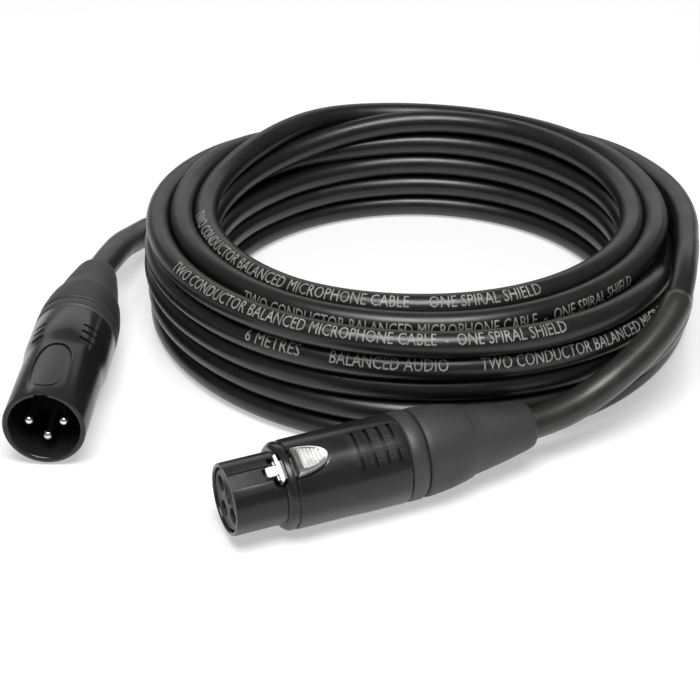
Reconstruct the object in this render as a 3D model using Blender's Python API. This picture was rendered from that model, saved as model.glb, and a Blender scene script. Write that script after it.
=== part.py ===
"""A coiled microphone cable with a male and a female XLR cable connector.

Metres, +Z up. The coil lies flat on the floor, the male connector lies to its left and the
female connector in front of it. Each connector is built along its own X axis, with X = 0 at
its mating rim, +X pointing out of it and +Z towards its key, and is then turned into place.
"""

import math

import bmesh
import bpy
from mathutils import Euler, Vector

MM = 0.001
GAP = 0.3 * MM
ROUND = 32

CABLE_RADIUS = 3.15 * MM
SLEEVE_RADIUS = 3.85 * MM

COIL_INNER_RADIUS = 50.0 * MM
COIL_OUTER_RADIUS = 69.0 * MM
COIL_HEIGHT = 33.0 * MM
COIL_CORNER = 3.0 * MM
COIL_SEGMENTS = 64

SHELL_RADIUS = 10.1 * MM
MALE_RIM_RADIUS = 9.5 * MM
MALE_BORE_RADIUS = 8.1 * MM
NOSE_RADIUS = 7.95 * MM
NOSE_LENGTH = 11.3 * MM
NOSE_BORE_RADIUS = 7.0 * MM
REAR_BORE_RADIUS = 8.6 * MM

CONTACT_CIRCLE = 4.0 * MM
PIN_RADIUS = 1.2 * MM
PIN_RECESS = 2.3 * MM
MALE_INSERT_FACE = -17.3 * MM
MALE_INSERT_REAR = -29.0 * MM
FEMALE_STEP = -13.4 * MM
FEMALE_INSERT_REAR = -26.0 * MM
CUP_LENGTH = 4.0 * MM
CUP_RADIUS = 1.3 * MM
CUP_BORE = 0.9 * MM
WIRE_RADIUS = 0.6 * MM
WIRE_CIRCLE = 1.25 * MM

RING_WIDTH = 4.2 * MM
BOOT_LENGTH = 28.4 * MM
BOOT_STEP = 12.0 * MM
BOOT_END_RADIUS = 5.0 * MM
BOOT_BORE_RADIUS = SLEEVE_RADIUS + GAP
MALE_RING_FRONT = -38.5 * MM
FEMALE_RING_FRONT = -39.5 * MM
# The jaws and the end of the jacket are placed from here, behind the front of the coding ring.
SEAT = -4.5 * MM
JACKET_END = SEAT + 5.7 * MM
SLEEVE_START = -15.0 * MM
BOOT_END = -(RING_WIDTH + GAP + BOOT_LENGTH)

LATCH_PIVOT = Vector((-29.5 * MM, 0.0, 6.5 * MM))
LATCH_PIN_RADIUS = 0.6 * MM
LATCH_BAR_WIDTH = 4.4 * MM
LATCH_BAR_TOP = 8.0 * MM
HOOK_FRONT = -10.2 * MM
HOOK_REAR = -11.3 * MM
HOOK_HALF_WIDTH = 3.3 * MM
HOOK_ROOM = 0.6 * MM
TAB_FRONT = -14.1 * MM
TAB_LENGTH = 7.8 * MM
TAB_HALF_WIDTH = 3.25 * MM
TAB_TOP = 11.2 * MM
TAB_CLEARANCE = 0.4 * MM

# Places round the centre of the coil, on the floor.
CONNECTOR_HEIGHT = SHELL_RADIUS
MALE_RIM = Vector((-86.85 * MM, -73.8 * MM, CONNECTOR_HEIGHT))
MALE_TURN = Euler((0.0, 0.0, math.radians(-92.7)))
FEMALE_RIM = Vector((-44.75 * MM, -101.25 * MM, CONNECTOR_HEIGHT))
FEMALE_TURN = Euler((math.radians(-29.0), 0.0, math.radians(-156.6)))

# The cable from each boot to the coil, past the straight stretch inside the connector.
MALE_ROUTE_MM = [
    (-79.9, 13.8, 9.3), (-76.9, 24.2, 7.0), (-72.4, 34.4, 5.1), (-66.0, 43.3, 4.1),
    (-57.6, 50.9, 3.7), (-47.9, 57.3, 3.7), (-38.0, 62.6, 3.7),
]
FEMALE_ROUTE_MM = [
    (29.9, -68.6, 10.8), (36.0, -65.2, 12.6), (41.8, -61.6, 15.3), (47.2, -57.2, 17.8),
    (51.9, -53.0, 20.2), (55.6, -48.6, 22.5), (58.8, -43.9, 25.0), (61.2, -39.9, 26.6),
]
MALE_SLEEVE_POINTS = 4
FEMALE_SLEEVE_POINTS = 7


def material(name, colour, roughness, metallic=0.0):
    made = bpy.data.materials.new(name)
    made.use_nodes = True
    shader = made.node_tree.nodes["Principled BSDF"]
    shader.inputs["Base Color"].default_value = (*colour, 1.0)
    shader.inputs["Roughness"].default_value = roughness
    shader.inputs["Metallic"].default_value = metallic
    return made


def empty(name, parent=None, place=(0, 0, 0), turn=(0, 0, 0)):
    made = bpy.data.objects.new(name, None)
    made.empty_display_size = 0.01
    made.parent = parent
    made.location = place
    made.rotation_euler = turn
    bpy.context.collection.objects.link(made)
    return made


def node(name, bm, look, parent, place=(0, 0, 0)):
    """One object made from a bmesh, smooth on round faces and sharp at its edges."""
    bmesh.ops.recalc_face_normals(bm, faces=bm.faces)
    mesh = bpy.data.meshes.new(name)
    bm.to_mesh(mesh)
    bm.free()
    mesh.materials.append(look)
    mesh.shade_smooth()
    mesh.set_sharp_from_angle(angle=math.radians(35))
    made = bpy.data.objects.new(name, mesh)
    made.parent = parent
    made.location = place
    bpy.context.collection.objects.link(made)
    return made


def lathe(outline, segments=ROUND, axis=(1, 0, 0)):
    """A solid turned round the axis from a closed outline of (distance along it, radius)."""
    bm = bmesh.new()
    along = Vector(axis)
    out = Vector((0, 0, 1)) if along.x else Vector((1, 0, 0))
    verts = [bm.verts.new(along * a + out * r) for a, r in outline]
    edges = [
        bm.edges.new((first, second))
        for first, second in zip(verts, verts[1:] + verts[:1])
        if first.co.cross(along).length > 1e-7 or second.co.cross(along).length > 1e-7
    ]
    bmesh.ops.spin(
        bm, geom=verts + edges, cent=(0, 0, 0), axis=axis, angle=math.tau, steps=segments,
        use_merge=True,
    )
    bmesh.ops.remove_doubles(bm, verts=bm.verts, dist=1e-6)
    return bm


def box(low, high):
    bm = bmesh.new()
    bmesh.ops.create_cube(bm, size=1.0)
    for vert in bm.verts:
        vert.co = [low[i] + (vert.co[i] + 0.5) * (high[i] - low[i]) for i in range(3)]
    return bm


def prism(points, way):
    """A flat outline pushed along a direction."""
    bm = bmesh.new()
    face = bm.faces.new([bm.verts.new(point) for point in points])
    grown = bmesh.ops.extrude_face_region(bm, geom=[face])["geom"]
    moved = [item for item in grown if isinstance(item, bmesh.types.BMVert)]
    bmesh.ops.translate(bm, verts=moved, vec=way)
    return bm


def extruded(outline, width):
    """An outline of (x, z) points as a bar that lies across Y, centred on it."""
    return prism([(x, -width / 2, z) for x, z in outline], (0, width, 0))


def turned(bm, turn):
    bmesh.ops.rotate(bm, verts=bm.verts, cent=(0, 0, 0), matrix=Euler(turn).to_matrix())
    return bm


def rod_across(half, radius, segments=16):
    """A round bar along Y, centred on the origin."""
    outline = [(-half, 0.0), (-half, radius), (half, radius), (half, 0.0)]
    return turned(lathe(outline, segments), (0, 0, math.pi / 2))


def cut(target, bm, name):
    """Cuts a closed shape out of a node, in the node's own frame."""
    cutter = node(name, bm, target.data.materials[0], target.parent)
    cutter.hide_render = True
    cutter.display_type = "WIRE"
    boolean = target.modifiers.new(name, "BOOLEAN")
    boolean.operation = "DIFFERENCE"
    boolean.solver = "EXACT"
    boolean.object = cutter


def join(target, bm, name):
    cut(target, bm, name)
    target.modifiers[name].operation = "UNION"


def tube(name, points, radius, look, parent=None, resolution=2, skip=0):
    """A round tube with filled caps along the smooth curve through the given points."""
    path = smooth_path(points, 2.4 * radius)[skip:]
    curve = bpy.data.curves.new(name, "CURVE")
    curve.dimensions = "3D"
    curve.bevel_depth = radius
    curve.bevel_resolution = resolution
    curve.use_fill_caps = True
    spline = curve.splines.new("POLY")
    spline.points.add(len(path) - 1)
    for point, place in zip(spline.points, path):
        point.co = (*place, 1.0)
    curve.materials.append(look)
    made = bpy.data.objects.new(name, curve)
    made.parent = parent
    bpy.context.collection.objects.link(made)
    return made


def smooth_path(points, step):
    """Points about one step apart on the Catmull-Rom curve through the route's points."""
    route = [Vector(p) for p in points]
    route = [2 * route[0] - route[1]] + route + [2 * route[-1] - route[-2]]
    path = [route[1]]
    for before, start, end, after in zip(route, route[1:], route[2:], route[3:]):
        count = max(1, round((end - start).length / step))
        for i in range(1, count + 1):
            t = i / count
            path.append(
                0.5 * (
                    2 * start + (end - before) * t
                    + (2 * before - 5 * start + 4 * end - after) * t * t
                    + (3 * start - before - 3 * end + after) * t ** 3
                )
            )
    return path


def millimetres(outline):
    return [(a * MM, r * MM) for a, r in outline]


def contact_places(mirrored):
    """The three contacts round the axis, as (y, z): 1 and 2 at the sides, 3 opposite the key."""
    side = -CONTACT_CIRCLE if mirrored else CONTACT_CIRCLE
    return [(-side, 0.0), (side, 0.0), (0.0, -CONTACT_CIRCLE)]


# ---- pieces that both connectors have ----


def coding_ring(name, front, look, frame):
    outline = [
        (front - GAP, 9.1 * MM), (front - GAP, 9.8 * MM), (front - 0.6 * MM, SHELL_RADIUS),
        (front - RING_WIDTH + 0.3 * MM, SHELL_RADIUS), (front - RING_WIDTH, 9.8 * MM),
        (front - RING_WIDTH, 9.1 * MM),
    ]
    node(name, lathe(outline), look, frame)


def boot(name, front, look, frame):
    """The screw-on bushing with its bend relief: a neck inside the shell, then a taper."""
    body = front - RING_WIDTH - GAP
    step = body - BOOT_STEP
    end = body - BOOT_LENGTH
    seat = front + SEAT
    outline = [
        (front + 7.0 * MM, 7.4 * MM), (front + 7.0 * MM, 8.3 * MM), (body, 8.3 * MM),
        (body, 9.7 * MM), (body - 0.6 * MM, 10.0 * MM), (body - 7.0 * MM, 9.4 * MM),
        (step, 8.5 * MM), (step - 0.3 * MM, 7.9 * MM), (step - 10.0 * MM, 6.6 * MM),
        (end + 0.4 * MM, BOOT_END_RADIUS), (end, BOOT_END_RADIUS - 0.3 * MM),
        (end, BOOT_BORE_RADIUS), (seat - 13.0 * MM, BOOT_BORE_RADIUS),
        (seat - 4.0 * MM, 7.4 * MM),
    ]
    node(name, lathe(outline), look, frame)


def chuck(name, front, look, frame):
    """The collet that the boot squeezes round the jacket, with four slots between its jaws."""
    seat = front + SEAT
    outline = [
        (seat + 12.0 * MM, 5.7 * MM), (seat + 12.0 * MM, 7.0 * MM),
        (seat - 3.5 * MM, 7.0 * MM), (seat - 8.5 * MM, 4.9 * MM),
        (seat - 8.5 * MM, CABLE_RADIUS + GAP), (seat + 6.3 * MM, CABLE_RADIUS + GAP),
        (seat + 7.3 * MM, 5.7 * MM),
    ]
    made = node(name, lathe(outline), look, frame)
    half = 0.5 * MM
    for i, (reach_y, reach_z) in enumerate([(12 * MM, half), (half, 12 * MM)]):
        slot = box((seat - 12 * MM, -reach_y, -reach_z), (seat + 1.5 * MM, reach_y, reach_z))
        cut(made, slot, f"{name}_slot_{i}")


def wires(prefix, front, cup_end, mirrored, looks, frame):
    """The three conductors, from inside the solder cups to the stripped end of the jacket."""
    end = front + JACKET_END + GAP
    for i, (y, z) in enumerate(contact_places(mirrored)):
        inward = WIRE_CIRCLE / CONTACT_CIRCLE
        points = [
            (cup_end + 1.3 * MM, y, z),
            (cup_end - 0.6 * MM, y, z),
            ((cup_end + end) / 2 - 0.3 * MM, y * 0.7, z * 0.7),
            (end + 0.5 * MM, y * inward, z * inward),
            (end, y * inward, z * inward),
        ]
        tube(f"{prefix}_conductor_{i + 1}", points, WIRE_RADIUS, looks[i], frame, 1)


# ---- the male connector ----


def male_shell(looks, frame):
    rear = MALE_RING_FRONT
    outline = [
        (-0.7 * MM, MALE_BORE_RADIUS), (0.0, MALE_BORE_RADIUS + 0.5 * MM),
        (0.0, MALE_RIM_RADIUS - 0.3 * MM), (-0.3 * MM, MALE_RIM_RADIUS),
        (-23.0 * MM, MALE_RIM_RADIUS), (-27.0 * MM, SHELL_RADIUS - 0.1 * MM),
        (rear + 0.3 * MM, SHELL_RADIUS), (rear, SHELL_RADIUS - 0.3 * MM),
        (rear, REAR_BORE_RADIUS), (MALE_INSERT_FACE + GAP, REAR_BORE_RADIUS),
        (MALE_INSERT_FACE + GAP, MALE_BORE_RADIUS),
    ]
    shell = node("male_shell", lathe(outline), looks["shell"], frame)
    notch = box((-12.0 * MM, -1.6 * MM, 7.4 * MM), (0.5 * MM, 1.6 * MM, 8.8 * MM))
    cut(shell, notch, "male_key_notch")


def male_insert(looks, frame):
    outline = [
        (MALE_INSERT_FACE, 0.0), (MALE_INSERT_FACE, REAR_BORE_RADIUS - GAP),
        (MALE_INSERT_REAR, REAR_BORE_RADIUS - GAP), (MALE_INSERT_REAR, 0.0),
    ]
    insert = node("male_insert", lathe(outline), looks["black_plastic"], frame)
    for i, (y, z) in enumerate(contact_places(False)):
        drill(insert, f"male_insert_hole_{i + 1}", y, z, PIN_RADIUS + GAP, MALE_INSERT_REAR)


def drill(target, name, y, z, radius, rear):
    """A hole along the connector's axis, right through an insert."""
    bm = bmesh.new()
    bmesh.ops.create_cone(
        bm, cap_ends=True, segments=16, radius1=radius, radius2=radius, depth=60 * MM
    )
    turned(bm, (0, math.pi / 2, 0))
    bmesh.ops.translate(bm, verts=bm.verts, vec=(rear, y, z))
    cut(target, bm, name)


def male_pins(looks, frame):
    tip = -PIN_RECESS
    cup = MALE_INSERT_REAR - GAP
    outline = [
        (tip, 0.0), (tip - 0.2 * MM, 0.6 * PIN_RADIUS), (tip - 0.8 * MM, PIN_RADIUS),
        (cup, PIN_RADIUS), (cup, CUP_RADIUS), (cup - CUP_LENGTH, CUP_RADIUS),
        (cup - CUP_LENGTH, CUP_BORE), (cup - 1.0 * MM, CUP_BORE), (cup - 1.0 * MM, 0.0),
    ]
    for i, (y, z) in enumerate(contact_places(False)):
        name = f"male_pin_{i + 1}"
        node(name, lathe(outline, 16), looks["contact"], frame, (0.0, y, z))


def male_connector(looks, root):
    frame = empty("male_connector", root, MALE_RIM, MALE_TURN)
    male_shell(looks, frame)
    male_insert(looks, frame)
    male_pins(looks, frame)
    coding_ring("male_coding_ring", MALE_RING_FRONT, looks["grey_plastic"], frame)
    boot("male_boot", MALE_RING_FRONT, looks["boot"], frame)
    chuck("male_chuck", MALE_RING_FRONT, looks["chuck"], frame)
    cup_end = MALE_INSERT_REAR - GAP - CUP_LENGTH
    wires("male", MALE_RING_FRONT, cup_end, False, looks["wires"], frame)


# ---- the female connector ----


def female_shell(looks, frame):
    rear = FEMALE_RING_FRONT
    outline = [
        (-0.4 * MM, NOSE_BORE_RADIUS), (0.0, NOSE_BORE_RADIUS + 0.3 * MM),
        (0.0, NOSE_RADIUS - 0.3 * MM), (-0.3 * MM, NOSE_RADIUS),
        (-NOSE_LENGTH, NOSE_RADIUS), (-NOSE_LENGTH, 8.9 * MM), (-12.6 * MM, 9.7 * MM),
        (-26.0 * MM, 9.9 * MM), (rear + 0.3 * MM, SHELL_RADIUS),
        (rear, SHELL_RADIUS - 0.3 * MM), (rear, REAR_BORE_RADIUS),
        (FEMALE_STEP, REAR_BORE_RADIUS), (FEMALE_STEP, NOSE_BORE_RADIUS),
    ]
    shell = node("female_shell", lathe(outline), looks["shell"], frame)
    slot_front, slot_side = HOOK_FRONT + 1.5 * HOOK_ROOM, HOOK_HALF_WIDTH + TAB_CLEARANCE
    hook_slot = box(
        (HOOK_REAR - HOOK_ROOM, -slot_side, 5.6 * MM), (slot_front, slot_side, 12.0 * MM)
    )
    cut(shell, hook_slot, "female_hook_slot")
    bar_side = LATCH_BAR_WIDTH / 2 + TAB_CLEARANCE
    bar_slot = box(
        (FEMALE_STEP - GAP, -bar_side, 5.6 * MM),
        (slot_front, bar_side, LATCH_BAR_TOP + TAB_CLEARANCE),
    )
    cut(shell, bar_slot, "female_bar_slot")
    cut(shell, d_shape(TAB_CLEARANCE, 7.6 * MM, 13.0 * MM), "female_tab_window")
    keyway = box((-9.0 * MM, -1.7 * MM, 7.35 * MM), (0.5 * MM, 1.7 * MM, 9.0 * MM))
    cut(shell, keyway, "female_keyway")


def d_shape(clearance, low, high):
    """The latch tab's outline, a flat front and a half-ellipse behind it, with a clearance."""
    front = TAB_FRONT + clearance
    half_width = TAB_HALF_WIDTH + clearance
    length = TAB_LENGTH + 2 * clearance
    steps = 10
    angles = [math.pi * i / steps for i in range(steps + 1)]
    outline = [(front - length * math.sin(a), half_width * math.cos(a), low) for a in angles]
    return prism(outline, (0, 0, high - low))


def female_insert(looks, frame):
    step = FEMALE_STEP - GAP
    outline = [
        (-0.5 * MM, 0.0), (-0.5 * MM, NOSE_BORE_RADIUS - GAP),
        (step, NOSE_BORE_RADIUS - GAP), (step, REAR_BORE_RADIUS - GAP),
        (FEMALE_INSERT_REAR, REAR_BORE_RADIUS - GAP), (FEMALE_INSERT_REAR, 0.0),
    ]
    insert = node("female_insert", lathe(outline), looks["grey_plastic"], frame)
    for i, (y, z) in enumerate(contact_places(True)):
        drill(insert, f"female_insert_hole_{i + 1}", y, z, 1.85 * MM, FEMALE_INSERT_REAR)
    pocket = box((-27.0 * MM, -4.2 * MM, 4.8 * MM), (-8.8 * MM, 4.2 * MM, 9.0 * MM))
    cut(insert, pocket, "female_latch_pocket")


def female_sockets(looks, frame):
    mouth = -0.9 * MM
    cup = FEMALE_INSERT_REAR - GAP
    outline = [
        (mouth, 1.25 * MM), (mouth, 1.55 * MM), (cup, 1.55 * MM), (cup, CUP_RADIUS),
        (cup - CUP_LENGTH, CUP_RADIUS), (cup - CUP_LENGTH, CUP_BORE),
        (cup - 1.0 * MM, CUP_BORE), (cup - 1.0 * MM, 0.0), (-18.0 * MM, 0.0),
        (-17.0 * MM, 1.25 * MM),
    ]
    for i, (y, z) in enumerate(contact_places(True)):
        name = f"female_socket_{i + 1}"
        node(name, lathe(outline, 16), looks["contact"], frame, (0.0, y, z))


def latch(looks, frame):
    """The push latch: one lever with its hook at the flange and its tab behind it, the pin
    that it turns on, and the leaf spring that lifts it."""
    pivot = empty("latch_pivot", frame, LATCH_PIVOT)
    x, z = LATCH_PIVOT.x, LATCH_PIVOT.z
    low, high = 6.7 * MM - z, LATCH_BAR_TOP - z
    nose = 7.15 * MM - z
    eye = 1.45 * MM
    rear = 1.6 * MM
    arc = [
        (eye * math.cos(a), eye * math.sin(a))
        for a in (math.radians(45 + 270 * i / 12) for i in range(13))
    ]
    bar = [
        *arc, (rear, low), (HOOK_REAR - x, low), (HOOK_REAR - x, nose),
        (HOOK_FRONT - x, nose), (HOOK_FRONT - x, high), (rear, high),
    ]
    lever = node("latch_lever", extruded(bar, LATCH_BAR_WIDTH), looks["latch"], pivot)
    hook = box(
        (HOOK_REAR - x, -HOOK_HALF_WIDTH, nose), (HOOK_FRONT - x, HOOK_HALF_WIDTH, 9.7 * MM - z)
    )
    join(lever, hook, "latch_hook")
    tab = d_shape(0.0, 7.9 * MM, TAB_TOP)
    bmesh.ops.translate(tab, verts=tab.verts, vec=-LATCH_PIVOT)
    join(lever, tab, "latch_tab")
    cut(lever, rod_across(3 * MM, LATCH_PIN_RADIUS + GAP), "latch_bore")
    pin = rod_across(4.3 * MM, LATCH_PIN_RADIUS)
    node("latch_pin", pin, looks["contact"], frame, LATCH_PIVOT)
    thick = 0.3 * MM
    top = millimetres(
        [(-18.0, 5.4), (-21.5, 5.4), (-23.0, 5.55), (-24.5, 5.9), (-26.0, 6.1)]
    )
    leaf = top + [(x, z - thick) for x, z in reversed(top)]
    node("latch_spring", extruded(leaf, 3.0 * MM), looks["spring"], frame)


def female_connector(looks, root):
    frame = empty("female_connector", root, FEMALE_RIM, FEMALE_TURN)
    female_shell(looks, frame)
    female_insert(looks, frame)
    female_sockets(looks, frame)
    latch(looks, frame)
    coding_ring("female_coding_ring", FEMALE_RING_FRONT, looks["grey_plastic"], frame)
    boot("female_boot", FEMALE_RING_FRONT, looks["boot"], frame)
    chuck("female_chuck", FEMALE_RING_FRONT, looks["chuck"], frame)
    cup_end = FEMALE_INSERT_REAR - GAP - CUP_LENGTH
    wires("female", FEMALE_RING_FRONT, cup_end, True, looks["wires"], frame)


# ---- the cable ----


def coil(looks, root):
    """The closed solid of the whole coil: a turned ring with rounded edges, flat below."""
    outline = []
    corners = [
        (COIL_OUTER_RADIUS, 0.0, -90), (COIL_OUTER_RADIUS, COIL_HEIGHT, 0),
        (COIL_INNER_RADIUS, COIL_HEIGHT, 90), (COIL_INNER_RADIUS, 0.0, 180),
    ]
    middle = Vector(((COIL_INNER_RADIUS + COIL_OUTER_RADIUS) / 2, COIL_HEIGHT / 2))
    for radius, height, start in corners:
        inwards = Vector((
            math.copysign(COIL_CORNER, middle.x - radius),
            math.copysign(COIL_CORNER, middle.y - height),
        ))
        for i in range(4):
            angle = math.radians(start + 30 * i)
            across = radius + inwards.x + COIL_CORNER * math.cos(angle)
            outline.append((height + inwards.y + COIL_CORNER * math.sin(angle), across))
    ring = lathe(outline, COIL_SEGMENTS, (0, 0, 1))
    node("cable_coil", ring, looks["jacket"], root)


def lead(side, rim, turn, ring_front, route_mm, sleeve_points, looks, root):
    """The cable from its stripped end in the connector to the coil, and its sleeve."""
    forward = Vector((1, 0, 0))
    forward.rotate(turn)

    def along(distance):
        return rim + forward * (ring_front + distance)

    route = [Vector(p) * MM for p in route_mm]
    inside = [along(JACKET_END), along(-6 * MM), along(-20 * MM), along(BOOT_END - 1 * MM)]
    tube(f"cable_lead_{side}", inside + route, CABLE_RADIUS, looks["jacket"], root)
    sleeved = inside[1:] + route[:sleeve_points]
    sleeved[0] = along(SLEEVE_START)
    sleeve(f"{side}_sleeve", sleeved, looks["sleeve"], root)


def sleeve(name, points, look, parent):
    """A thin pipe round the cable, swept with twelve sides and open at both ends."""
    path = smooth_path(points, 3.0 * CABLE_RADIUS)
    sides = 12
    bm = bmesh.new()
    rings = []
    for i, place in enumerate(path):
        heading = (path[min(i + 1, len(path) - 1)] - path[max(i - 1, 0)]).normalized()
        across = heading.cross(Vector((0, 0, 1))).normalized()
        up = across.cross(heading)
        for radius in (CABLE_RADIUS + 0.35 * MM, SLEEVE_RADIUS):
            ring = []
            for k in range(sides):
                angle = math.tau * k / sides
                offset = (across * math.cos(angle) + up * math.sin(angle)) * radius
                ring.append(bm.verts.new(place + offset))
            rings.append(ring)
    inner, outer = rings[0::2], rings[1::2]
    strips = list(zip(inner, inner[1:])) + list(zip(outer, outer[1:]))
    strips += [(inner[0], outer[0]), (inner[-1], outer[-1])]
    for first, second in strips:
        for k in range(sides):
            n = (k + 1) % sides
            bm.faces.new((first[k], first[n], second[n], second[k]))
    node(name, bm, look, parent)


def stand_on_origin(root):
    """Moves everything so that the box of all the pieces stands on the origin, centred."""
    graph = bpy.context.evaluated_depsgraph_get()
    low, high = Vector((1, 1, 1)), Vector((-1, -1, -1))
    for made in bpy.context.scene.objects:
        if made.type not in ("MESH", "CURVE") or made.hide_render:
            continue
        evaluated = made.evaluated_get(graph)
        for vert in evaluated.to_mesh().vertices:
            place = evaluated.matrix_world @ vert.co
            low = Vector(map(min, low, place))
            high = Vector(map(max, high, place))
        evaluated.to_mesh_clear()
    root.location = (-(low.x + high.x) / 2, -(low.y + high.y) / 2, -low.z)


def main():
    for old in list(bpy.data.objects):
        bpy.data.objects.remove(old, do_unlink=True)
    looks = {
        "shell": material("black_chrome_shell", (0.02, 0.02, 0.022), 0.22, 0.9),
        "black_plastic": material("black_insulator", (0.015, 0.015, 0.015), 0.45),
        "grey_plastic": material("dark_grey_plastic", (0.08, 0.08, 0.078), 0.55),
        "boot": material("dark_grey_boot", (0.075, 0.075, 0.072), 0.6),
        "chuck": material("ivory_chuck", (0.6, 0.58, 0.52), 0.5),
        "contact": material("silver_contact", (0.8, 0.8, 0.78), 0.22, 1.0),
        "latch": material("satin_latch", (0.55, 0.54, 0.52), 0.35, 1.0),
        "spring": material("spring_steel", (0.45, 0.45, 0.46), 0.3, 1.0),
        "jacket": material("black_jacket", (0.02, 0.02, 0.02), 0.5),
        "sleeve": material("clear_sleeve", (0.2, 0.2, 0.2), 0.3),
        "wires": [
            material("braided_copper", (0.6, 0.35, 0.22), 0.4, 1.0),
            material("red_conductor", (0.5, 0.03, 0.03), 0.5),
            material("white_conductor", (0.75, 0.75, 0.72), 0.5),
        ],
    }
    root = empty("cable_on_floor")
    male_connector(looks, root)
    female_connector(looks, root)
    coil(looks, root)
    lead(
        "male", MALE_RIM, MALE_TURN, MALE_RING_FRONT, MALE_ROUTE_MM, MALE_SLEEVE_POINTS,
        looks, root,
    )
    lead(
        "female", FEMALE_RIM, FEMALE_TURN, FEMALE_RING_FRONT, FEMALE_ROUTE_MM,
        FEMALE_SLEEVE_POINTS, looks, root,
    )
    stand_on_origin(root)


main()
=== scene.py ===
"""A coiled microphone cable with its two connectors, standing on a pale studio floor."""

import math

import bmesh
import bpy
import numpy as np
from mathutils import Matrix, Vector


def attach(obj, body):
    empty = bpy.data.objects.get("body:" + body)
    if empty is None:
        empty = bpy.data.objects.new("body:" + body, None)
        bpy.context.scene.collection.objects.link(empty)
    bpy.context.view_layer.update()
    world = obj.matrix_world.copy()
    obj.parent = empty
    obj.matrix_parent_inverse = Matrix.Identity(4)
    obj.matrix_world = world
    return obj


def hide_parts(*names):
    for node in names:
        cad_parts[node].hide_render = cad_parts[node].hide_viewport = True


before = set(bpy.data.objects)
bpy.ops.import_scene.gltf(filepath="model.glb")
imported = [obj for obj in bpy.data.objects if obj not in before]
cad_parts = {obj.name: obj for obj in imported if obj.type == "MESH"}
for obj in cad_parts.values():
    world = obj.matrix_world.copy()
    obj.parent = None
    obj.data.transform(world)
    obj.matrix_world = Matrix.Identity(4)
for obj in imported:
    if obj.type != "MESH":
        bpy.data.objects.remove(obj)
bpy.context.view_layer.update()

MM = 0.001

# The coil's middle in the part's frame, and each connector's place: the middle of its mating rim and
# the directions of its mating axis and of its key.
COIL_CENTRE = np.array([13.663, 19.701, 0.0])
MALE_PLACE = ((-73.187, -54.099, 10.1), (-0.047106, -0.99889, 0.0), (0.0, 0.0, 1.0))
FEMALE_PLACE = (
    (-31.087, -81.549, 10.1),
    (-0.917755, -0.397148, 0.0),
    (0.192541, -0.444936, 0.87462),
)

# ------------------------------------------------------------------ camera, and first helpers
scene = bpy.context.scene
scene.view_settings.view_transform = "Standard"
camera = bpy.data.objects.new("camera", bpy.data.cameras.new("camera"))
scene.collection.objects.link(camera)
camera.data.lens = 92.57
camera.data.sensor_width = 36.0
camera.data.clip_start = 0.01
camera.location = (-0.00454, -0.39073, 0.23280)
camera.rotation_euler = (math.radians(59.0), 0.0, 0.0)
scene.camera = camera


def material(name, color, roughness, **sockets):
    m = bpy.data.materials.new(name)
    m.use_nodes = True
    shader = m.node_tree.nodes["Principled BSDF"]
    shader.inputs["Base Color"].default_value = (*color, 1)
    shader.inputs["Roughness"].default_value = roughness
    for key, value in sockets.items():
        shader.inputs[key.replace("_", " ")].default_value = value
    return m


def area_light(name, size, energy, place, aim):
    data = bpy.data.lights.new(name, "AREA")
    data.shape = "RECTANGLE"
    data.size, data.size_y = size
    data.energy = energy
    light = bpy.data.objects.new(name, data)
    scene.collection.objects.link(light)
    light.location = place
    light.rotation_euler = (Vector(aim) - Vector(place)).to_track_quat("-Z", "Y").to_euler()
    return light


# ------------------------------------------------------------------ the cable's way through the coil
CABLE = 3.05  # radius of the jacket, mm
SPACING = 6.1  # how far apart relaxed() pushes two turns' middles, mm
PLANES = 48  # points in a turn
# Where the sections below are given, in degrees: back, right, front right, front, front left, left, and
# the back again.
SIDES = (90.0, 0.0, -45.0, -90.0, -135.0, -180.0, -270.0)

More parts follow.
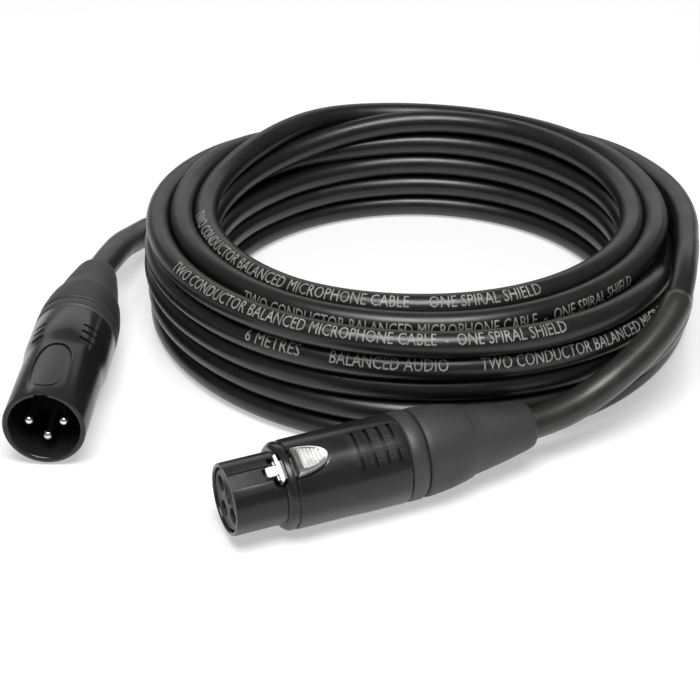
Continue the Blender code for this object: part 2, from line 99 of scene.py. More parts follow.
# Each place in the coil's section: (radius, height) of the cable's middle at each of SIDES but the last.
LOW = CABLE  # a turn that lies on the floor
PLACES = {
    "outer_1": ((71.4, LOW), (66.6, LOW), (63.0, LOW), (65.0, 3.6), (64.6, 3.4), (66.4, LOW)),
    "outer_2": ((65.4, 3.6), (66.9, 9.1), (65.6, 8.7), (65.6, 10.2), (66.0, 9.9), (67.4, 9.1)),
    "outer_3": ((68.2, 9.4), (66.9, 15.1), (66.4, 14.8), (66.4, 16.3), (66.8, 16.0), (67.6, 15.2)),
    "outer_4": ((65.6, 15.2), (66.9, 21.0), (66.6, 20.6), (67.2, 22.4), (67.4, 22.1), (67.5, 21.3)),
    "outer_5": ((65.2, 21.4), (61.3, 16.4), (66.6, 24.9), (68.0, 28.6), (67.6, 28.3), (66.0, 27.6)),
    "core_1": ((59.5, LOW), (60.2, LOW), (57.5, LOW), (59.3, LOW), (60.2, LOW), (61.2, LOW)),
    "core_2": ((59.6, 9.3), (60.3, 9.2), (59.5, 9.2), (59.4, 9.0), (60.2, 9.1), (61.4, 9.2)),
    "core_3": ((59.6, 15.5), (59.5, 14.6), (59.6, 15.3), (60.4, 15.2), (61.0, 15.3), (61.5, 15.4)),
    "inner_1": ((53.2, LOW), (53.4, LOW), (53.2, LOW), (53.2, LOW), (54.2, LOW), (55.2, LOW)),
    "inner_2": ((53.2, 9.4), (53.4, 9.2), (53.2, 9.2), (53.2, 9.2), (54.2, 9.2), (55.2, 9.2)),
    "inner_3": ((53.2, 16.1), (53.4, 15.4), (53.2, 15.4), (53.2, 15.4), (54.2, 15.4), (55.2, 15.4)),
    "inner_4": ((53.2, 22.6), (53.4, 21.7), (53.3, 21.8), (53.1, 22.0), (54.2, 21.8), (55.2, 21.6)),
    "top_1": ((53.3, 29.4), (52.6, 28.6), (52.4, 29.3), (52.3, 29.5), (53.8, 28.3), (55.3, 28.0)),
    "top_2": ((59.2, 27.6), (57.7, 25.8), (58.2, 28.0), (58.4, 28.0), (59.5, 28.2), (60.9, 28.2)),
    "top_3": ((59.4, 21.8), (61.8, 22.0), (61.6, 23.4), (61.4, 21.5), (61.4, 21.7), (61.5, 21.7)),
    "lead_on_top": ((70.8, 15.4), (66.4, 27.2), (67.6, 28.4), (70.0, 26.0), (70.0, 23.0), (70.0, 20.0)),
}
# The order in which the cable takes the places, and the angle at which it leaves each.
BACK_SEAM, FRONT_SEAM = 128.0, -90.0
ORDER = (
    ("outer_1", BACK_SEAM),
    ("outer_2", BACK_SEAM),
    ("outer_3", BACK_SEAM),
    ("outer_4", BACK_SEAM),
    ("core_1", BACK_SEAM),
    ("core_2", BACK_SEAM),
    ("core_3", FRONT_SEAM),
    ("inner_1", FRONT_SEAM),
    ("inner_2", FRONT_SEAM),
    ("inner_3", FRONT_SEAM),
    ("core_3", BACK_SEAM),
    ("inner_4", BACK_SEAM),
    ("top_1", BACK_SEAM),
    ("top_2", BACK_SEAM),
    ("top_3", BACK_SEAM),
    ("outer_5", BACK_SEAM),
    ("lead_on_top", None),
)
SEAM_WIDTH = {BACK_SEAM: 76.0, FRONT_SEAM: 62.0}  # degrees over which the cable moves to its next place
COIL_END = -13.0  # where the cable lifts off the coil's top, degrees
ENTRY = 122.0  # where the cable joins the coil's underside, degrees


def eased(u):
    return 0.5 - 0.5 * np.cos(np.pi * np.clip(u, 0.0, 1.0))


def from_back(angle):
    """The same direction as the angle, but from 90 degrees (the back) down to -270."""
    return -((90.0 - angle) % 360.0) + 90.0


def place_at(name, angle):
    """(radius, height) of a named place at an angle, smooth all the way round."""
    stops = [*PLACES[name], PLACES[name][0]]
    a = from_back(angle)
    for i in range(len(SIDES) - 1):
        if a >= SIDES[i + 1]:
            u = eased((SIDES[i] - a) / (SIDES[i] - SIDES[i + 1]))
            return np.array(stops[i]) * (1 - u) + np.array(stops[i + 1]) * u
    return np.array(stops[-1])


def coil_targets():
    """Angles and target sections of the cable from where it joins the coil to where it leaves."""
    ends, at = [], ENTRY
    for _, leaves in ORDER[:-1]:
        at -= (at - leaves) % 360.0 or 360.0
        ends.append(at)
    last = ends[-1] - (ends[-1] - COIL_END) % 360.0
    step = 360.0 / PLANES
    angles = np.arange(ENTRY, last - 0.01, -step)
    rows = []
    for a in angles:
        n = sum(a < e for e in ends)
        here = place_at(ORDER[n][0], a)
        if n < len(ends):
            width = SEAM_WIDTH[ORDER[n][1]]
            u = (ends[n] + width / 2 - a) / width
            if u > 0:
                w = eased(u)
                here = here * (1 - w) + place_at(ORDER[n + 1][0], a) * w
        if n > 0:
            width = SEAM_WIDTH[ORDER[n - 1][1]]
            u = (ends[n - 1] + width / 2 - a) / width
            if u < 1:
                w = eased(u)
                here = place_at(ORDER[n - 1][0], a) * (1 - w) + place_at(ORDER[n][0], a) * w
        rows.append(here)
    return angles, np.array(rows)


# (angle, largest radius that a turn's middle may have there)
OUTER_LIMIT = (
    (90.0, 72.5), (0.0, 67.2), (-45.0, 66.9), (-90.0, 68.4), (-135.0, 68.2), (-180.0, 67.9),
    (-270.0, 72.5),
)
INNER_SLACK = 0.5  # how far inside the innermost place a turn may come, mm

# The female connector's radius along its axis, and how far the cable's middle stays from it, in mm.
CLEAR_ALONG = (-72.4, -56.3, -56.0, -51.0, -44.0, -39.0, -14.0, -12.0)
CLEAR_RADIUS = (5.0, 7.9, 8.5, 9.4, 10.0, 10.1, 9.85, 7.95)
CLEAR_ENDS = (-74.0, 2.0)
CLEAR = CABLE + 0.12
MOVED_IN, MOVED_UP = 1.3, 0.3  # shares of what is missing that a section moves inwards and upwards


def kept_off_connector(place, turn):
    """The coil's sections moved off the female connector, towards the coil's axis, where they meet it."""
    spots = COIL_CENTRE + np.stack([place[:, 0] * np.cos(turn), place[:, 0] * np.sin(turn), place[:, 1]], 1)
    origin, axis = np.array(FEMALE_PLACE[0]), np.array(FEMALE_PLACE[1])
    along = (spots - origin) @ axis
    away = spots - origin - along[:, None] * axis
    far = np.linalg.norm(away, axis=1)
    least = np.interp(along, CLEAR_ALONG, CLEAR_RADIUS) + CLEAR
    short = np.clip(least - far, 0.0, None) * ((along > CLEAR_ENDS[0]) & (along < CLEAR_ENDS[1]))
    outwards = np.stack([np.cos(turn), np.sin(turn)], axis=1)
    side = away / far[:, None]
    place[:, 0] += short * (side[:, :2] * outwards).sum(axis=1) * MOVED_IN
    place[:, 1] += short * side[:, 2] * MOVED_UP


ROUNDS = 500
PULL, PULL_AT_ENDS = 0.04, 0.5  # share of the way back to its target that a point moves in a round
SMOOTHING = 0.6  # share of the way towards the mean of its neighbours
PUSH = 0.42  # share of an overlap that each of the two turns gives way


def relaxed(angles, targets):
    """The turns pushed apart in each plane through the coil's axis, and drawn back to their places. It
    ends as a balance of the two: turns side by side overlap by a few tenths of a millimetre in places,
    and where one crosses another they overlap by up to 1.8 mm."""
    place = targets.copy()
    turn = np.radians(angles)
    count = len(angles)
    planes = [np.arange(i, count, PLANES) for i in range(PLANES)]
    limit_at, limit = zip(*OUTER_LIMIT[::-1])
    most = np.interp(from_back(angles), limit_at, limit)
    least = np.array([place_at("inner_2", a)[0] for a in angles]) - INNER_SLACK
    # The first sixth of a turn and the last eighth stay near their places, to meet the leads.
    held = np.full(count, PULL)
    held[: PLANES // 6] = PULL_AT_ENDS
    held[-PLANES // 8 :] = PULL_AT_ENDS
    for _ in range(ROUNDS):
        place += held[:, None] * (targets - place)
        smooth = place.copy()
        smooth[1:-1] = 0.5 * place[1:-1] + 0.25 * (place[:-2] + place[2:])
        place[1:-1] += SMOOTHING * (smooth[1:-1] - place[1:-1])
        for who in planes:
            p = place[who]
            gap = p[:, None] - p[None]
            far = np.linalg.norm(gap, axis=2) + 1e-9
            short = np.clip(SPACING - far, 0.0, None)
            np.fill_diagonal(short, 0.0)
            place[who] += PUSH * (gap / far[..., None] * short[..., None]).sum(axis=1)
        kept_off_connector(place, turn)
        place[:, 1] = np.maximum(place[:, 1], CABLE)
        # The outer limit doesn't hold where the cable joins the coil and where it leaves.
        inside = slice(PLANES // 4, count - PLANES // 6)
        place[inside, 0] = np.minimum(place[inside, 0], most[inside])
        place[:, 0] = np.maximum(place[:, 0], least)
    return place


def catmull(points, steps):
    """A smooth curve through all the points, with that many points from each to the next."""
    p = np.array(points, float)
    ends = np.vstack([2 * p[0] - p[1], p, 2 * p[-1] - p[-2]])
    out = []
    for i in range(1, len(ends) - 2):
        a, b, c, d = ends[i - 1 : i + 3]
        for k in range(steps):
            t = k / steps
            square, cube = 2 * a - 5 * b + 4 * c - d, 3 * b - a - 3 * c + d
            out.append(0.5 * (2 * b + (c - a) * t + square * t**2 + cube * t**3))
    out.append(p[-1])
    return np.array(out)


def place_of(spot, along):
    """A point on a connector's axis, mm along its mating direction from the rim."""
    return np.array(spot[0]) + along * np.array(spot[1])


# The cable's way from the male connector to the coil, and from the coil to the female one, measured
# from the coil's middle in mm.
MALE_ROUTE = (
    (-79.9, 13.8, 9.3),
    (-76.9, 24.2, 7.0),
    (-72.4, 34.4, 5.1),
    (-66.0, 43.3, 4.1),
    (-57.6, 50.9, 3.7),
    (-47.9, 57.3, 3.4),
)
FEMALE_ROUTE = (
    (63.9, -21.5, 27.7),
    (62.2, -29.5, 27.8),
    (60.6, -36.5, 26.9),
    (58.4, -43.1, 25.0),
    (55.3, -48.3, 22.5),
    (51.7, -52.7, 20.2),
    (47.2, -56.9, 17.8),
    (41.8, -61.3, 15.3),
    (36.0, -64.8, 12.6),
    (29.9, -68.4, 10.9),
)
# Where the jacket begins inside each connector and where its boot ends, mm along the connector's axis.
MALE_START, MALE_BOOT_END = -37.3, -71.4
FEMALE_START, FEMALE_BOOT_END = -38.3, -72.4
STEPS = 3  # points of the line to each knot


def cable_line():
    """The cable's middle from one connector to the other, in mm, and where the coil starts and ends in it."""
    angles, targets = coil_targets()
    section = relaxed(angles, targets)
    turn = np.radians(angles)
    coil = COIL_CENTRE + np.stack(
        [section[:, 0] * np.cos(turn), section[:, 0] * np.sin(turn), section[:, 1]], axis=1
    )
    start = [place_of(MALE_PLACE, x) for x in (MALE_START, -50.0, -63.0, MALE_BOOT_END)]
    start += [COIL_CENTRE + np.array(p) for p in MALE_ROUTE]
    end = [COIL_CENTRE + np.array(p) for p in FEMALE_ROUTE]
    end += [place_of(FEMALE_PLACE, x) for x in (FEMALE_BOOT_END, -64.0, -51.0, FEMALE_START)]
    knots = np.vstack([start, coil, end])
    return catmull(knots, STEPS), len(start) * STEPS, (len(start) + len(coil) - 1) * STEPS


def frames_along(line):
    """Unit directions along, outwards from the coil's axis and upwards across the line, at each point."""
    along = np.gradient(line, axis=0)
    along /= np.linalg.norm(along, axis=1)[:, None]
    out = line - COIL_CENTRE
    out[:, 2] = 0
    out -= (out * along).sum(axis=1)[:, None] * along
    out /= np.linalg.norm(out, axis=1)[:, None]
    up = np.cross(along, out)
    up *= np.sign(up[:, 2:3])
    return along, out, up


def mesh_object(name, verts, faces, mat):
    mesh = bpy.data.meshes.new(name)
    mesh.from_pydata([tuple(v) for v in verts], [], faces)
    mesh.polygons.foreach_set("use_smooth", [True] * len(mesh.polygons))
    obj = bpy.data.objects.new(name, mesh)
    scene.collection.objects.link(obj)
    mesh.materials.append(mat)
    return obj


def tube_mesh(name, line, radius, sides, mat):
    """A closed tube round the line, in mm."""
    _, out, up = frames_along(line)
    turn = np.linspace(0, 2 * np.pi, sides, endpoint=False)
    ring = np.cos(turn)[None, :, None] * out[:, None] + np.sin(turn)[None, :, None] * up[:, None]
    verts = (line[:, None] + radius * ring).reshape(-1, 3)
    flip = np.dot(np.cross(out[0], up[0]), line[1] - line[0]) < 0
    faces = []
    for i in range(len(line) - 1):
        for j in range(sides):
            k = (j + 1) % sides
            quad = (i * sides + j, i * sides + k, (i + 1) * sides + k, (i + 1) * sides + j)
            faces.append(quad[::-1] if flip else quad)
    first = list(range(sides))
    last = [(len(line) - 1) * sides + j for j in range(sides)]
    faces += [first if flip else first[::-1], last[::-1] if flip else last]
    return mesh_object(name, verts * MM, faces, mat)


# ------------------------------------------------------------------ materials
def nodes_of(mat):
    return mat.node_tree.nodes, mat.node_tree.links, mat.node_tree.nodes["Principled BSDF"]


NOISE_SPAN = (0.3, 0.7)  # most of a noise texture's values lie in it
EDGE_HIGHLIGHT_SPAN = (0.53, 0.62)  # pointiness where the painted highlight on sharp edges begins, and where it is full
ROUGHNESS_BLOTCH = 2.7  # how many times finer the roughness varies than the colour


def surface(name, dark, light, rough, grain, bump, blotch=60.0, stretch=(1, 1, 1), edge_highlight=None, **sockets):
    """A moulded or plated surface: its colour and roughness vary, and a fine grain stands on it.
    dark and light are its two colours, rough its lowest and highest roughness, grain and blotch the
    number of fine and coarse features in a metre and bump the height of the fine ones in metres.
    stretch multiplies those numbers along each axis, and edge is a lighter colour painted on sharp edges as a
    highlight."""
    mat = material(name, light, rough[0], **sockets)
    nodes, links, shader = nodes_of(mat)
    place = nodes.new("ShaderNodeTexCoord")
    scale = nodes.new("ShaderNodeMapping")
    scale.inputs["Scale"].default_value = stretch
    links.new(place.outputs["Object"], scale.inputs["Vector"])

    def noise(size, detail):
        made = nodes.new("ShaderNodeTexNoise")
        made.inputs["Scale"].default_value = size
        made.inputs["Detail"].default_value = detail
        links.new(scale.outputs["Vector"], made.inputs["Vector"])
        return made.outputs["Fac"]

    coarse, fine = noise(blotch, 5.0), noise(grain, 3.0)
    ramp = nodes.new("ShaderNodeValToRGB")
    ramp.color_ramp.elements[0].position = NOISE_SPAN[0]
    ramp.color_ramp.elements[0].color = (*dark, 1)
    ramp.color_ramp.elements[1].position = NOISE_SPAN[1]
    ramp.color_ramp.elements[1].color = (*light, 1)
    links.new(coarse, ramp.inputs["Fac"])
    colour = ramp.outputs["Color"]
    # Sharp edges get a lighter colour by their pointiness: a painted highlight.
    if edge_highlight:
        edge_geometry = nodes.new("ShaderNodeNewGeometry")
        highlight_share = nodes.new("ShaderNodeMapRange")
        highlight_share.inputs["From Min"].default_value, highlight_share.inputs["From Max"].default_value = EDGE_HIGHLIGHT_SPAN
        links.new(edge_geometry.outputs["Pointiness"], highlight_share.inputs["Value"])
        mix = nodes.new("ShaderNodeMix")
        mix.data_type = "RGBA"
        links.new(highlight_share.outputs["Result"], mix.inputs["Factor"])
        links.new(colour, mix.inputs["A"])
        mix.inputs["B"].default_value = (*edge_highlight, 1)
        colour = mix.outputs["Result"]
    links.new(colour, shader.inputs["Base Color"])
    span = nodes.new("ShaderNodeMapRange")
    span.inputs["From Min"].default_value, span.inputs["From Max"].default_value = NOISE_SPAN
    span.inputs["To Min"].default_value, span.inputs["To Max"].default_value = rough
    links.new(noise(blotch * ROUGHNESS_BLOTCH, 4.0), span.inputs["Value"])
    links.new(span.outputs["Result"], shader.inputs["Roughness"])
    height = nodes.new("ShaderNodeBump")
    height.inputs["Strength"].default_value = 1.0
    height.inputs["Distance"].default_value = bump
    links.new(fine, height.inputs["Height"])
    links.new(height.outputs["Normal"], shader.inputs["Normal"])
    return mat


# The lighter colours given for sharp edges below are painted highlights.
LOOKS = {
    "jacket": surface(
        "black_pvc_jacket", (0.0050, 0.0050, 0.0048), (0.0085, 0.0085, 0.0080), (0.28, 0.38), 2600, 2.0e-5
    ),
    "shell": surface(
        "black_chrome_shell", (0.008, 0.008, 0.008), (0.015, 0.015, 0.015), (0.2, 0.3), 5200, 2e-6,
        edge_highlight=(0.05, 0.05, 0.05), Metallic=0.05, Specular_IOR_Level=0.38, Coat_Weight=0.12,
        Coat_Roughness=0.12,
    ),
    "grey_plastic": surface(
        "dark_grey_plastic", (0.020, 0.021, 0.020), (0.030, 0.031, 0.030), (0.42, 0.55), 3600, 2.5e-5,
        edge_highlight=(0.11, 0.11, 0.11),
    ),
    "boot": surface(
        "dark_grey_boot", (0.025, 0.026, 0.025), (0.037, 0.038, 0.037), (0.48, 0.62), 3000, 5.0e-5,
    ),
    "insert_black": surface(
        "black_insulator", (0.006, 0.006, 0.006), (0.011, 0.011, 0.011), (0.4, 0.55), 3000, 2e-5
    ),
    "insert_grey": surface(
        "grey_insulator", (0.030, 0.030, 0.030), (0.048, 0.048, 0.048), (0.4, 0.52), 3000, 2e-5,
        edge_highlight=(0.08, 0.08, 0.08),
    ),
    "chuck": surface(
        "ivory_chuck", (0.5, 0.48, 0.42), (0.62, 0.6, 0.54), (0.4, 0.5), 2500, 2e-5
    ),
    "contact": surface(
        "silver_contact", (0.72, 0.71, 0.68), (0.84, 0.83, 0.8), (0.12, 0.2), 3000, 3e-6, Metallic=1.0
    ),
    "latch": surface(
        "satin_nickel_latch", (0.27, 0.27, 0.265), (0.4, 0.4, 0.395), (0.32, 0.46), 2600, 4e-6,
        stretch=(1.0, 3.0, 1.0), edge_highlight=(0.7, 0.7, 0.69), Metallic=1.0,
    ),
    "spring": surface(
        "spring_steel", (0.3, 0.3, 0.31), (0.45, 0.45, 0.46), (0.25, 0.35), 3000, 3e-6, Metallic=1.0
    ),
    "sleeve": surface(
        "clear_heat_shrink", (0.014, 0.014, 0.013), (0.022, 0.022, 0.021), (0.3, 0.42), 1300, 2.5e-5,
        blotch=110.0, Coat_Weight=0.15, Coat_Roughness=0.2,
    ),
    "print": surface(
        "white_print", (0.15, 0.15, 0.145), (0.32, 0.32, 0.31), (0.45, 0.6), 4200, 1e-5, blotch=420.0
    ),
    "braid": surface(
        "copper_braid", (0.5, 0.27, 0.15), (0.7, 0.42, 0.27), (0.3, 0.45), 6000, 6e-5, Metallic=1.0
    ),
    "red_wire": surface("red_wire", (0.4, 0.02, 0.02), (0.5, 0.03, 0.03), (0.4, 0.5), 2500, 2e-5),
    "white_wire": surface("white_wire", (0.66, 0.66, 0.64), (0.76, 0.76, 0.73), (0.4, 0.5), 2500, 2e-5),
}


# ------------------------------------------------------------------ shapes
ROUND = 96  # sides of a turned piece
SMALL_ROUND = 32  # sides of a pin, a socket or a hole


def lathe(outline, segments=ROUND):
    """A solid turned round the X axis from a closed outline of (distance along it, radius), in mm."""
    bm = bmesh.new()
    rings = []
    for along, radius in outline:
        if radius < 1e-6:
            rings.append([bm.verts.new((along, 0, 0))])
            continue
        turns = [math.tau * i / segments for i in range(segments)]
        rings.append([bm.verts.new((along, radius * math.sin(t), radius * math.cos(t))) for t in turns])
    for a, b in zip(rings, rings[1:] + rings[:1]):
        if len(a) == 1 and len(b) == 1:
            continue
        for i in range(segments):
            j = (i + 1) % segments
            corners = [a[i % len(a)], a[j % len(a)], b[j % len(b)], b[i % len(b)]]
            kept = [v for k, v in enumerate(corners) if v not in corners[:k]]
            bm.faces.new(kept)
    return bm


def box(low, high):
    bm = bmesh.new()
    bmesh.ops.create_cube(bm, size=1.0)
    for vert in bm.verts:
        vert.co = [low[i] + (vert.co[i] + 0.5) * (high[i] - low[i]) for i in range(3)]
    return bm


def wrapped(slices, low, high, steps=10):
    """A pad bent round the X axis between two radii. Each slice is (x, first angle, last angle), in
    degrees from +Z towards +Y."""
    bm = bmesh.new()
    grid = []
    for radius in (low, high):
        layer = []
        for x, first, last in slices:
            turns = [math.radians(first + (last - first) * k / steps) for k in range(steps + 1)]
            layer.append([bm.verts.new((x, radius * math.sin(t), radius * math.cos(t))) for t in turns])
        grid.append(layer)
    count = len(slices)
    for layer in grid:
        for i in range(count - 1):
            for k in range(steps):
                bm.faces.new((layer[i][k], layer[i][k + 1], layer[i + 1][k + 1], layer[i + 1][k]))
    under, over = grid
    for i in range(count - 1):
        for k in (0, steps):
            bm.faces.new((under[i][k], under[i + 1][k], over[i + 1][k], over[i][k]))
    for i in (0, count - 1):
        for k in range(steps):
            bm.faces.new((under[i][k], under[i][k + 1], over[i][k + 1], over[i][k]))
    return bm


def oval(middle, half_length, half_angle, square):
    """Slices of a rounded shape for wrapped(): an ellipse where square is 2, squarer above it."""
    out, count = [], 24
    for i in range(count + 1):
        u = -math.cos(math.pi * i / count) * 0.999
        reach = half_angle * (1 - abs(u) ** square) ** (1 / square)
        out.append((middle + half_length * u, -reach, reach))
    return out


def drill_bit(y, z, radius, length=60.0):
    bm = lathe([(-length, 0), (-length, radius), (1.0, radius), (1.0, 0)], SMALL_ROUND)
    bmesh.ops.translate(bm, verts=bm.verts, vec=(0, y, z))
    return bm


def carved(bm, *changes):
    """The shape after each (kind, shape) of the changes: DIFFERENCE cuts, UNION joins."""
    helpers = []

    def helper(shape):
        bmesh.ops.recalc_face_normals(shape, faces=shape.faces)
        mesh = bpy.data.meshes.new("helper")
        shape.to_mesh(mesh)
        shape.free()
        obj = bpy.data.objects.new("helper", mesh)
        scene.collection.objects.link(obj)
        helpers.append(obj)
        return obj

    base = helper(bm)
    for kind, shape in changes:
        modifier = base.modifiers.new("change", "BOOLEAN")
        modifier.operation = kind
        modifier.solver = "EXACT"
        modifier.object = helper(shape)
    bpy.context.view_layer.update()
    mesh = bpy.data.meshes.new_from_object(base.evaluated_get(bpy.context.evaluated_depsgraph_get()))
    out = bmesh.new()
    out.from_mesh(mesh)
    bpy.data.meshes.remove(mesh)
    for obj in helpers:
        mesh = obj.data
        bpy.data.objects.remove(obj)
        bpy.data.meshes.remove(mesh)
    bmesh.ops.remove_doubles(out, verts=out.verts, dist=1e-4)
    return out


def turned_into_place(spot):
    """The matrix from a connector's own mm to the part's metres."""
    x, z = Vector(spot[1]), Vector(spot[2])
    y = z.cross(x)
    m = Matrix((x, y, z)).transposed().to_4x4()
    return Matrix.Scale(MM, 4) @ Matrix.Translation(spot[0]) @ m


def piece(name, bm, spot, look, slot, *replaced, body="cable", sharp=32.0):
    """One finished piece on a connector, from its shape in the connector's own mm."""
    bmesh.ops.transform(bm, matrix=turned_into_place(spot), verts=bm.verts)
    bmesh.ops.recalc_face_normals(bm, faces=bm.faces)
    mesh = bpy.data.meshes.new(name)
    bm.to_mesh(mesh)
    bm.free()
    mesh.materials.append(LOOKS[look])
    mesh.shade_smooth()
    mesh.set_sharp_from_angle(angle=math.radians(sharp))
    obj = bpy.data.objects.new(name, mesh)
    scene.collection.objects.link(obj)
    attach(obj, body)
    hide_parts(*replaced)


# ------------------------------------------------------------------ what both connectors have
# All in mm, along a connector's axis from its mating rim or out from that axis.
RING_WIDTH, GAP = 4.2, 0.3  # of the coding ring, and between it and the boot
BOOT_LENGTH, BOOT_STEP = 28.4, 12.0  # of the boot, and from its front to the step where it narrows
SEAT = -4.5  # from the ring's front to where the boot's cone squeezes the chuck
MALE_RING, FEMALE_RING = -38.5, -39.5  # the ring's front
SHELL, REAR_BORE = 10.1, 8.6  # radii of the shell and of the bore in its rear
CONTACT = 4.0  # radius of the circle that the contacts lie on


def grooves(places, spans, low, width):
    """Cutters for short grooves that run part of the way round a shell, down to the radius low."""
    out = []
    for x in places:
        for first, last in spans:
            ends = [(x - width / 2, first, last), (x + width / 2, first, last)]
            out.append(("DIFFERENCE", wrapped(ends, low, 11.0)))
    return out


def coding_ring(side, front, spot):
    rear = front - RING_WIDTH
    outline = [
        (front - 0.3, 9.0), (front - 0.3, 9.55), (front - 0.55, 9.95), (front - 0.8, 10.08),
        (rear + 0.9, SHELL), (rear + 0.6, 9.98), (rear + 0.5, 9.75), (rear + 0.1, 9.7), (rear, 9.6),
        (rear, 9.0),
    ]
    name = f"{side}_coding_ring"
    piece(name + "_detailed", lathe(outline), spot, "grey_plastic", "dark_grey_plastic", name)


def boot(side, front, spot):
    """The bushing and bend relief: a domed shoulder behind the ring, a step, then a slim taper."""
    body = front - RING_WIDTH - GAP
    step, end, seat = body - BOOT_STEP, body - BOOT_LENGTH, front + SEAT
    outline = [
        (front + 7.0, 7.4), (front + 7.0, 8.3), (body, 8.3), (body, 9.6), (body - 0.2, 9.85),
        (body - 0.6, 9.98), (body - 1.6, 10.0), (body - 4.0, 9.82), (body - 7.0, 9.42),
        (body - 10.0, 8.86), (step + 0.5, 8.45), (step + 0.15, 8.33), (step, 8.1),
        (step - 0.2, 7.98), (step - 4.0, 7.45), (step - 8.0, 6.8), (step - 12.0, 6.0),
        (step - 14.5, 5.5), (end + 0.9, 5.2), (end + 0.35, 5.05), (end, 4.75),
        (end, 4.15), (seat - 13.0, 4.15), (seat - 4.0, 7.4),
    ]
    name = f"{side}_boot"
    piece(name + "_detailed", lathe(outline), spot, "boot", "boot", name, sharp=40.0)


# ------------------------------------------------------------------ the male connector
def male_shell():
    rear = MALE_RING
    outline = [
        (-0.7, 8.1), (-0.3, 8.2), (-0.08, 8.42), (0, 8.7), (0, 9.0), (-0.06, 9.22), (-0.2, 9.4),
        (-0.5, 9.5), (-22.6, 9.5), (-23.6, 9.56), (-26.0, 9.92), (-27.2, 10.03), (-29.0, 10.08),
        (rear + 0.6, SHELL), (rear + 0.2, 10.0), (rear, 9.75), (rear, REAR_BORE),
        (-17.0, REAR_BORE), (-17.0, 8.1),
    ]
    # The key notch, then the panel: a hollow with a pad in it.
    changes = [("DIFFERENCE", box((-12.0, -1.6, 7.4), (0.5, 1.6, 8.8)))]
    changes.append(("DIFFERENCE", wrapped(oval(-12.1, 9.4, 27.0, 2.6), 9.12, 11.0, 14)))
    changes.append(("UNION", wrapped(oval(-12.1, 8.6, 22.5, 2.6), 8.9, 9.34, 14)))
    changes += grooves((-25.6, -28.3, -31.0), ((26.0, 47.0), (-47.0, -26.0)), 9.35, 0.9)
    shell = carved(lathe(outline), *changes)
    piece("male_shell_detailed", shell, MALE_PLACE, "shell", "shell", "male_shell")


def male_insert():
    face, rear, radius = -17.3, -29.0, 8.3
    outline = [
        (face - 0.6, 0.0), (face - 0.6, 6.0), (face - 0.2, 6.2), (face, 6.5), (face, 7.9),
        (face - 0.3, radius), (rear, radius), (rear, 0.0),
    ]
    holes = [("DIFFERENCE", drill_bit(y, z, 1.5)) for y, z in ((CONTACT, 0), (-CONTACT, 0), (0, -CONTACT))]
    key = ("UNION", box((face - 1.0, -1.0, 4.4), (face + 0.9, 1.0, 7.9)))
    insert = carved(lathe(outline), key, *holes)
    piece("male_insert_detailed", insert, MALE_PLACE, "insert_black", "insert_black", "male_insert")


def male_pins():
    cup = -29.3
    outline = [
        (-2.3, 0.0), (-2.33, 0.3), (-2.45, 0.62), (-2.7, 0.92), (-3.05, 1.12), (-3.5, 1.2),
        (cup, 1.2), (cup, 1.3), (cup - 4.0, 1.3), (cup - 4.0, 0.9), (cup - 1.0, 0.9), (cup - 1.0, 0.0),
    ]
    for i, (y, z) in enumerate(((-CONTACT, 0), (CONTACT, 0), (0, -CONTACT))):
        bm = lathe(outline, SMALL_ROUND)
        bmesh.ops.translate(bm, verts=bm.verts, vec=(0, y, z))
        name = f"male_pin_{i + 1}"
        piece(name + "_detailed", bm, MALE_PLACE, "contact", "contact", name)


# ------------------------------------------------------------------ the female connector
def female_shell():
    rear = FEMALE_RING
    outline = [
        (-0.4, 7.0), (-0.15, 7.08), (0, 7.25), (0, 7.6), (-0.1, 7.82), (-0.4, 7.95), (-11.1, 7.95),
        (-11.3, 8.05), (-11.3, 8.7), (-11.4, 8.95), (-11.9, 9.4), (-12.2, 9.6), (-12.5, 9.68),
        (-13.1, 9.7), (-13.25, 9.6), (-13.3, 9.38), (-13.75, 9.38), (-13.8, 9.62), (-13.95, 9.76),
        (-14.4, 9.82), (-26.0, 9.92), (-30.0, 10.05), (rear + 0.6, SHELL), (rear + 0.2, 10.0),
        (rear, 9.75), (rear, REAR_BORE), (-13.4, REAR_BORE), (-13.4, 7.0),
    ]
    # Room for the latch's hook, bar and tab, the groove along the nose, and room for the latch's nib.
    changes = [
        ("DIFFERENCE", box((-11.9, -3.7, 5.6), (-9.3, 3.7, 12.0))),
        ("DIFFERENCE", box((-13.7, -2.6, 5.6), (-9.3, 2.6, 8.4))),
        ("DIFFERENCE", latch_tab(0.4, ((7.6, 1.0), (13.0, 1.0)))),
        ("DIFFERENCE", box((-9.6, -1.9, 7.3), (0.5, 1.9, 9.0))),
        ("DIFFERENCE", box((-9.9, -1.4, 5.6), (-7.7, 1.4, 9.0))),
    ]
    changes += grooves((-28.5, -31.6, -34.4, -37.0), ((-24.0, 30.0),), 9.4, 0.85)
    shell = carved(lathe(outline), *changes)
    piece("female_shell_detailed", shell, FEMALE_PLACE, "shell", "shell", "female_shell")


TAB_FRONT, TAB_LENGTH, TAB_HALF = -14.1, 7.8, 3.25  # the latch's tab, and half its width


